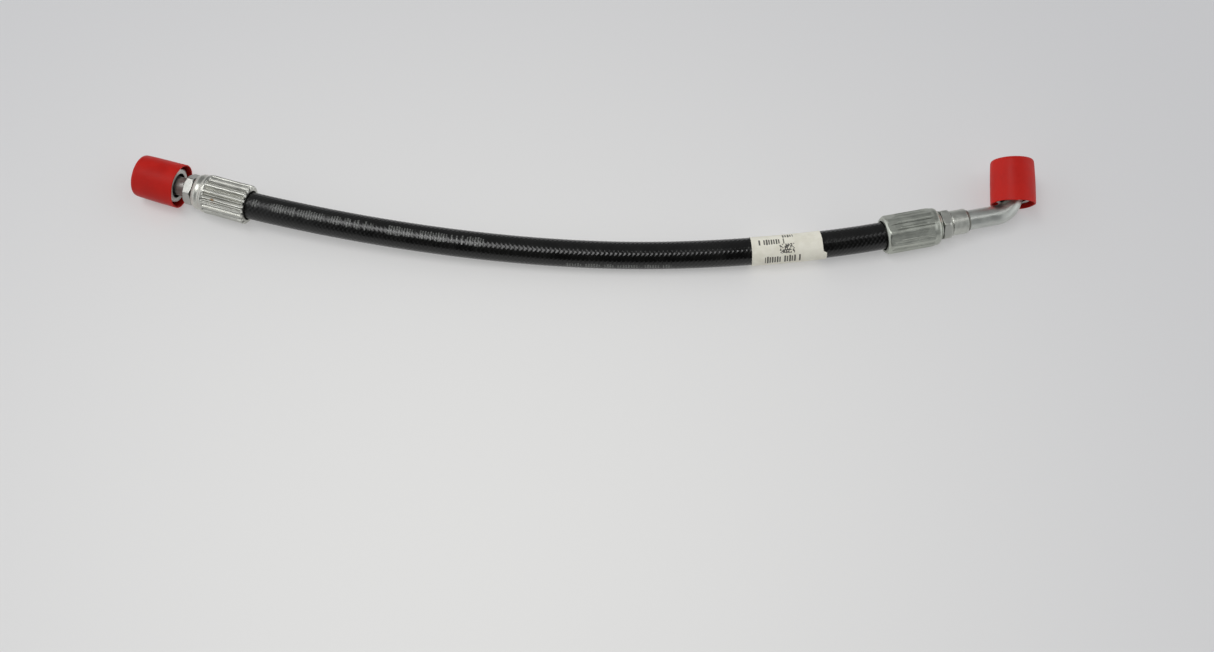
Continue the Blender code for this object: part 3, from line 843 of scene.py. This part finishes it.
def elbow_stem(axis):
    """Insert, collar, hexagon with a punched dimple on each corner, and the tube's socket."""
    node = "elbow_stem"
    start, end, bore, corner = axis.span(node)
    socket_r, socket_depth = 6.15 * MM, 6.0 * MM
    band = HexBand(HEX_AT, HEX_END, HEX_APOTHEM, corner, 0.3 * MM)
    corners = insert_corners(start, bore) + band.outline()
    corners += [
        (HEX_END + 0.35 * MM, socket_r - 0.25 * MM, 0.1 * MM, 1),
        (HEX_END + 0.9 * MM, socket_r, 0.2 * MM, 1),
        (end, socket_r, 0.5 * MM, 0),
        (end, TUBE_SOCKET_R, 0.08 * MM, 0),
        (end - socket_depth, TUBE_SOCKET_R, 0.1 * MM, 0),
        (end - socket_depth, bore, 0.1 * MM, 0),
    ]
    dimple_at, dimple_ring, dimple_r = HEX_END - 0.6 * MM, 7.5 * MM, 0.65 * MM

    def shape(along, radius, angle, mark):
        marked = mark > 0.5
        radius = np.where(marked & (along < HEX_END), band.limit(along, radius, angle), radius)
        dents = 0.0
        for k in range(6):
            from_corner = np.mod(angle - math.radians(30 + 60 * k) + math.pi, TAU) - math.pi
            far = np.hypot(np.abs(from_corner) * dimple_ring, along - dimple_at)
            dents = dents + np.exp(-((far / dimple_r) ** 2))
        uneven = 0.03 * MM * wobble(angle * 5, along * 2200)
        uneven = np.where(marked & (along > HEX_END + 0.8 * MM), uneven, 0)
        return radius + uneven - np.where(radius > 6.0 * MM, 0.35 * MM * np.minimum(dents, 1), 0)

    obj = lathe("elbow_stem_body", axis, corners, 180, 0.2 * MM, shape)
    finish_piece(obj, "stem", node, "elbow_fitting")


def shell_bore(end):
    """The inside corners of a ferrule, from its hexagon end back to its mouth."""
    return [
        (end, SHELL_NECK_R, 0.1 * MM, 0),
        (SHELL_NECK_AT, SHELL_NECK_R, 0.1 * MM, 0),
        (SHELL_NECK_AT, SHELL_BORE_R, 0.1 * MM, 0),
        (1.2 * MM, SHELL_BORE_R, 0.4 * MM, 0),
    ]


def straight_ferrule(axis):
    """The crimped shell with its ring of die ribs."""
    node = "straight_ferrule"
    _, end, _, widest = axis.span(node)
    ribs, rib_end = 20, 22.6 * MM
    corners = [
        (0, 7.5 * MM, 0.12 * MM, 0),
        (0, widest - 1.25 * MM, 0.25 * MM, 1),
        (1.0 * MM, widest, 0.5 * MM, 1),
        (23.2 * MM, widest - 0.10 * MM, 0.7 * MM, 1),
        (24.3 * MM, 9.05 * MM, 0.35 * MM, 1),
        (25.0 * MM, 9.0 * MM, 0.35 * MM, 1),
        (26.4 * MM, 9.15 * MM, 0.9 * MM, 1),
        (end, 8.1 * MM, 0.5 * MM, 0),
    ]
    corners += shell_bore(end)

    def shape(along, radius, angle, mark):
        turn = angle * ribs / TAU + 0.13
        chance, other = scatter(np.floor(turn))
        offset = np.abs(np.mod(turn, 1.0) - 0.5) * 2
        half = 0.48 + 0.12 * chance
        begin = (0.3 * chance - 0.9) * MM
        stop = rib_end - 0.7 * MM * other
        reach = plateau(along, begin, begin + 0.8 * MM, stop - 1.0 * MM, stop)
        round_in = np.clip(1 - (offset / half) ** 2, 0, 1)
        hollow = (0.74 + 0.22 * other) * MM * reach * round_in ** 0.9
        nick = 0.18 * MM * reach * np.exp(-(((offset - half - 0.06) / 0.07) ** 2))
        waist = 0.10 * MM * np.sin(math.pi * np.clip(along / rib_end, 0, 1))
        ripple = 0.010 * MM * wobble(angle * 9, along * 240)
        sink = 0.10 * MM * reach * smoothstep(offset, half + 0.1, 1.0)
        ribbed = radius - hollow + nick - sink - waist - ripple - 0.10 * MM
        return np.where(mark > 0.5, np.minimum(ribbed, widest), radius)

    obj = lathe("straight_ferrule_shell", axis, corners, 640, 0.3 * MM, shape, 60)
    finish_piece(obj, "ferrule", node, "hose")


def elbow_ferrule(axis):
    """The crimped shell with eight broad die flats, thin fins between them and a round shoulder."""
    node = "elbow_ferrule"
    _, end, _, widest = axis.span(node)
    end = end + 0.22 * MM
    across, fin_end = 9.35 * MM, 25.0 * MM
    dies, corner_at, fins = 8, math.radians(28), 44
    corners = [
        (0, 7.4 * MM, 0.12 * MM, 0),
        (0, across - 0.9 * MM, 0.35 * MM, 1),
        (0.9 * MM, across, 0.5 * MM, 1),
        (26.9 * MM, across, 2.6 * MM, 1),
        (28.0 * MM, 7.7 * MM, 0.5 * MM, 1),
        (end, 7.2 * MM, 0.12 * MM, 0),
    ]
    corners += shell_bore(end)

    def fin_lines(along, angle):
        """Raised or sunk lines along the shell, each with its own place, length, width and height."""
        lines = 0.0
        for k in range(fins):
            chance, other = scatter(k)
            at = TAU * (k + 0.8 * other) / fins
            gap = np.mod(angle - at + math.pi, TAU) - math.pi
            first = (1.5 + 7 * other) * MM
            last = fin_end - (0.3 + 5 * chance * other) * MM
            lived = plateau(along, first, first + 1.2 * MM, last - 1.2 * MM, last)
            width = (0.12 + 0.10 * other) * MM
            line = np.exp(-((gap * across / width) ** 2))
            lines = lines + line * lived * (0.60 * chance - 0.26) * MM
        return lines

    def shape(along, radius, angle, mark):
        turn = (angle - corner_at) * dies / TAU
        offset = np.mod(turn, 1.0) - 0.5
        reach = plateau(along, 0.6 * MM, 1.8 * MM, fin_end - 1.6 * MM, fin_end + 0.4 * MM)
        flat = across / np.cos(offset * TAU / dies)
        crease = soft_min(flat, across * 1.052, 0.25 * MM) - across
        bite = wobble(angle * 23, along * 2600) * wobble(angle * 11 + 2, along * 900)
        scored = 0.060 * MM * bite * smoothstep(along, 8 * MM, 17 * MM) * reach
        grain = 0.014 * MM * wobble(angle * 60, along * 160) + scored
        change = reach * crease + fin_lines(along, angle) + grain
        return np.where(mark > 0.5, np.minimum(radius - 0.16 * MM + change, widest), radius)

    obj = lathe("elbow_ferrule_shell", axis, corners, 640, 0.3 * MM, shape, 60)
    finish_piece(obj, "ferrule_dull", node, "elbow_fitting")


def tube_path(stem, port):
    """Points and directions down the middle of the bent tube, from the socket to the seat."""
    # The corner is where the two axes come nearest.
    cosine = stem.z @ port.z
    to_port = port.o - stem.o
    nearest = np.array([[1, -cosine], [cosine, -1]])
    corner_at = np.linalg.solve(nearest, [to_port @ stem.z, to_port @ port.z])[0]
    corner = stem.o + stem.z * corner_at
    deflection = math.acos(cosine)
    tangent = BEND_R * math.tan(deflection / 2)
    side = unit(port.z - stem.z * cosine)
    centre = corner - stem.z * tangent + side * BEND_R
    start = stem.span("elbow_tube")[0]
    end = port.span("elbow_tube")[1] - (corner - port.o) @ port.z
    path = [(stem.o + stem.z * s, stem.z) for s in np.arange(start, corner_at - tangent, 0.8 * MM)]
    for t in np.linspace(0, deflection, 48):
        out = centre - side * BEND_R * math.cos(t) + stem.z * BEND_R * math.sin(t)
        path.append((out, stem.z * math.cos(t) + side * math.sin(t)))
    path += [(corner + port.z * s, port.z) for s in np.linspace(tangent, end, 8)[1:]]
    return np.array([p for p, _ in path]), np.array([d for _, d in path])


def elbow_tube(stem, port):
    """The bent tube, hollow, slightly flattened in the bend, from the stem's socket to the seat."""
    path, direction = tube_path(stem, port)
    normal = unit(np.cross(stem.z, port.z))
    across = np.cross(normal, direction)
    angle = ring(64)
    cosine = stem.z @ port.z
    arc = np.clip((direction @ stem.z - cosine) / (1 - cosine), 0, 1)
    flatten = 1 - 0.035 * (4 * arc * (1 - arc))[:, None] * np.cos(angle) ** 2
    flat = np.cos(angle)[:, None] * across[:, None] * flatten[..., None]
    flat = flat + np.sin(angle)[:, None] * normal

    def skin(radius):
        return path[:, None] + radius * flat

    lip = 0.2 * MM
    ends, inside = skin(TUBE_R - lip), skin(TUBE_R - TUBE_WALL)
    points = np.vstack([ends[:1], skin(TUBE_R), ends[-1:], inside[::-1]])
    along = np.linspace(0, len(path) * 0.8 * MM, len(points))[:, None]
    obj = looped_grid("elbow_tube_bent", points, coordinates(along, angle * 0.01), 40)
    finish_piece(obj, "tube", "elbow_tube", "elbow_fitting")


def elbow_seat(port):
    """The coned nose brazed on the tube's end, inside the nut."""
    node = "elbow_seat"
    low, high, _, outer = port.span(node)
    bore = 3.4 * MM
    floor = high - (SEAT_MOUTH_R - bore) / math.tan(SEAT_CONE) - 0.3 * MM
    corners = [(low, TUBE_SOCKET_R, 0.1 * MM, 0)]
    corners += seat_corners(low, high, outer, bore)
    corners += [(floor, bore, 0.05 * MM, 0), (floor, TUBE_SOCKET_R, 0.1 * MM, 0)]
    obj = lathe("elbow_seat_nose", port, corners, 96, 0.3 * MM)
    finish_piece(obj, "nipple", node, "elbow_fitting")


def braze(name, node, axis, flip):
    """A concave fillet of braze round the tube, slightly uneven; flip puts its foot at the far end."""
    low, high, inner, outer = axis.span(node)
    face, tip = (high, low) if flip else (low, high)
    corners = [
        (face, inner, 0.0, 0),
        (face, outer, 0.08 * MM, 1),
        (face + (tip - face) * 0.35, inner + (outer - inner) * 0.38, 0.3 * MM, 1),
        (tip, inner + 0.06 * MM, 0.03 * MM, 1),
        (tip, inner, 0.0, 0),
    ]

    def shape(along, radius, angle, mark):
        uneven = 0.05 * MM * wobble(angle * 4, angle * 7)
        return radius + np.where(mark > 0.5, uneven * (radius - inner) / (outer - inner), 0)

    obj = lathe(name, axis, corners, 96, 0.1 * MM, shape, 50)
    finish_piece(obj, "braze", node, "elbow_fitting")


# ------------ hose


def braid(along, angle, pitch, starts):
    """Height from 0 to 1 of crossing strands, one set a little prouder than the other."""
    one = np.cos(TAU * along / pitch + starts * angle)
    other = np.cos(TAU * along / pitch - starts * angle)
    return 0.5 + 0.32 * one + 0.18 * other


def hose_layer(spine, link, name, node, look, inner, outer, detail):
    """One layer of the hose as a closed tube, with a braid raised on its outer side."""
    columns, step, relief, pitch = detail
    angle = ring(columns)[None]
    s = np.linspace(0, spine.length, max(8, int(spine.length / step)))
    coarse = np.append(s[:: max(1, int(3 * MM / step))], s[-1])[::-1, None]
    s = s[:, None]
    starts = round(0.75 * TAU * outer / pitch)
    height = braid(s, angle, pitch, starts) - 0.5
    edge = plateau(s, 0, 1 * MM, spine.length - 1 * MM, spine.length)
    outside = spine.around(s, outer + relief * height * edge - relief / 2, angle)
    inside = spine.around(coarse, inner, angle)
    along = np.vstack([s, coarse])
    around = outer * (np.mod(angle + math.pi, TAU) - math.pi)
    obj = looped_grid(name, np.vstack([outside, inside]), coordinates(along, around), 60)
    finish_piece(obj, look, node, blend=link)


def hose(spine, link):
    """The five layers from the cover in, each with its inner and outer radius and its detail."""
    # Detail: columns round the hose, step along it, relief and pitch of the braid
    cover = (132, 0.36 * MM, 0.12 * MM, 2.2 * MM)
    wires = (96, 0.8 * MM, 0.2 * MM, 4.0 * MM)
    smooth = (48, 3 * MM, 0.0, 2.6 * MM)
    layers = (
        ("hose_cover_braided", "hose_cover", "rubber", 5.6 * MM, HOSE_R, cover),
        ("hose_wire_outer", "hose_outer_braid", "wire", 5.1 * MM, 5.5 * MM, wires),
        ("hose_separator", "hose_braid_separator", "liner", 4.8 * MM, 5.0 * MM, smooth),
        ("hose_wire_inner", "hose_inner_braid", "wire", 4.3 * MM, 4.7 * MM, wires),
        ("hose_liner", "hose_inner_tube", "liner", 3.3 * MM, 4.2 * MM, smooth),
    )
    for layer in layers:
        hose_layer(spine, link, *layer)


def label_span(spine):
    """Where the CAD label starts and ends along the hose, less a margin at each end."""
    margin = 0.1 * MM
    s = np.linspace(0, spine.length, 4000)
    line, _ = spine.at(s)
    near = [s[np.argmin(((line - p) ** 2).sum(1))] for p in node_points("hose_label")]
    return min(near) + margin, max(near) - margin


def label(spine, link, start, end):
    """A paper strip wrapped a little more than once round the hose, its overlap slightly askew."""
    base, thick = HOSE_R + 0.06 * MM, 0.09 * MM
    seam, overlap = math.radians(124), math.radians(76)
    turns = np.linspace(0, TAU + overlap, 150)[None]
    lengths = np.linspace(0, 1, 72)[:, None]
    across = 2 * lengths - 1
    angle = seam - overlap + turns
    skew = smoothstep(turns, TAU + 0.10, TAU + 0.32) * 1.7 * MM
    s = start + (end - start) * lengths + skew * smoothstep(lengths, 0.2, 1.0)
    s = s + 0.12 * MM * wobble(turns * 2.0, turns * 0.0) * across
    layer = smoothstep(turns, TAU - 0.30, TAU - 0.02) * (thick + 0.05 * MM)
    lift = smoothstep(turns, TAU + overlap - 0.22, TAU + overlap) * 0.12 * MM
    crinkle = 0.021 * MM * wobble(angle * 7 + lengths * 3, lengths * 11)
    crease_at = TAU + math.radians(6) + 0.08 * np.sin(5 * lengths)
    crease = 0.07 * MM * np.exp(-(((angle - crease_at) / 0.05) ** 2))
    edge_lift = 0.06 * MM * smoothstep(np.abs(across), 0.93, 1.0) * (1 + np.sin(3 * angle))
    r = base + layer + lift + crinkle + crease + edge_lift
    top, bottom = (spine.around(s, radius, angle) for radius in (r + thick, r))
    points = np.concatenate([top, bottom[:, ::-1]], axis=1)
    uv = coordinates(s - start, HOSE_R * (angle - TAU))
    uv = np.concatenate([uv, uv[:, ::-1]], axis=1)
    obj = sheet_grid("hose_label_wrap", points, uv, 40)
    finish_piece(obj, "paper", "hose_label", blend=link)


# ------------ stage


def table_top():
    """A plain pale table with a painted pool of light round its middle; it glows a little, painted fill light that
    stands in for the room.
    """
    n = Surface("table_top")
    # painted pool of light: the colour, and with it the glow, is lighter towards the table's middle
    fade = n.ramp(n.distance_to((-0.05, -0.17, 0.0)), 0.0, 0.50, 1.0, 0.0)
    colour = n.mix(fade, (0.395, 0.395, 0.402), (0.50, 0.497, 0.489))
    material = n.finish(
        Base_Color=colour,
        Roughness=0.55,
        Normal=n.bump(n.speckle(900.0, 3.0), 0.05, 0.1 * MM),
        Specular_IOR_Level=0.3,
        # painted fill light: the table glows with its own colour to lighten the shadows on it
        Emission_Color=colour,
        Emission_Strength=0.66,
    )
    mesh = bpy.data.meshes.new("table_top")
    half, gap = 9.0, 0.1 * MM
    corners = [(-half, -half, 0), (half, -half, 0), (half, half, 0), (-half, half, 0)]
    mesh.from_pydata(corners, [], [(0, 1, 2, 3)])
    mesh.materials.append(material)
    obj = new_object("table_top", mesh)
    obj.location.z = CAD_BOX[0].z - gap


def area_light(name, place, aim, size, power):
    light = bpy.data.lights.new(name, "AREA")
    light.shape = "RECTANGLE"
    light.size, light.size_y = size
    light.energy = power
    obj = new_object(name, light)
    obj.location = place
    obj.rotation_euler = (Vector(aim) - Vector(place)).to_track_quat("-Z", "Y").to_euler()


def studio_world():
    """Dim surroundings: darkest in front, a little brighter behind, bright towards both sides."""
    world = bpy.data.worlds.new("studio")
    world.use_nodes = True
    bpy.context.scene.world = world
    n = Graph(world.node_tree)
    across, depth = n.split(n.add("TexCoord").outputs["Generated"])
    sides = n.ramp(n.math("ABSOLUTE", across), 0.32, 0.90, 0.0, 1.0)
    behind = n.ramp(depth, -0.5, 0.4, 0.03, 0.26)
    background = n.tree.nodes["Background"]
    n.feed(background.inputs["Color"], (0.97, 0.985, 1.0))
    n.feed(background.inputs["Strength"], n.total(sides, behind))


def camera():
    """Above and in front of the assembly, which lies in the upper part of the picture."""
    elevation, distance = math.radians(63), 0.679
    aim = Vector((0.012, -0.059, 0.0))
    data = bpy.data.cameras.new("camera")
    data.sensor_width = 36.0
    data.lens = 41.5
    data.clip_start = 0.02
    obj = new_object("camera", data)
    obj.location = aim + Vector((0, -math.cos(elevation), math.sin(elevation))) * distance
    obj.rotation_euler = (math.pi / 2 - elevation, 0, 0)
    bpy.context.scene.camera = obj


# ------------ build

STRAIGHT = joint_axis("straight_nut_spin", "straight_ferrule")
STRAIGHT_NUT = STRAIGHT.moved_to("straight_swivel_nut")
ELBOW = elbow_axis()
PORT = joint_axis("elbow_nut_spin", "elbow_swivel_nut")
SPINE = hose_spine()
LABEL_START, LABEL_END = label_span(SPINE)
MATERIALS = make_materials(STRAIGHT, LABEL_END - LABEL_START)

HINGE = np.array(JOINTS["hose_flex"]["pos_m"])
FLEX = ("hose", "elbow_fitting", tuple(HINGE - (FLEX_BEFORE, 0, 0)), tuple(HINGE + (FLEX_AFTER, 0, 0)))

hose(SPINE, FLEX)
label(SPINE, FLEX, LABEL_START, LABEL_END)
straight_ferrule(STRAIGHT)
straight_nipple(STRAIGHT)
elbow_ferrule(ELBOW)
elbow_stem(ELBOW)
elbow_tube(ELBOW, PORT)
braze("elbow_braze_socket", "elbow_socket_braze", ELBOW, False)
elbow_seat(PORT)
braze("elbow_braze_seat", "elbow_seat_braze", PORT, True)
for side_name, nut_axis, cap_seed in (("straight", STRAIGHT_NUT, 0.8), ("elbow", PORT, 2.1)):
    swivel_nut(side_name, nut_axis)
    retaining_wire(side_name, nut_axis)
    dust_cap(side_name, nut_axis, cap_seed)

table_top()
studio_world()
area_light("overhead", (-0.52, -0.28, 2.0), (0, 0, 0), (1.56, 0.60), 16.0)
area_light("overhead_right", (0.95, -0.28, 2.0), (0.15, 0, 0), (0.60, 0.60), 1.8)
bpy.context.scene.view_settings.view_transform = "Standard"
camera()
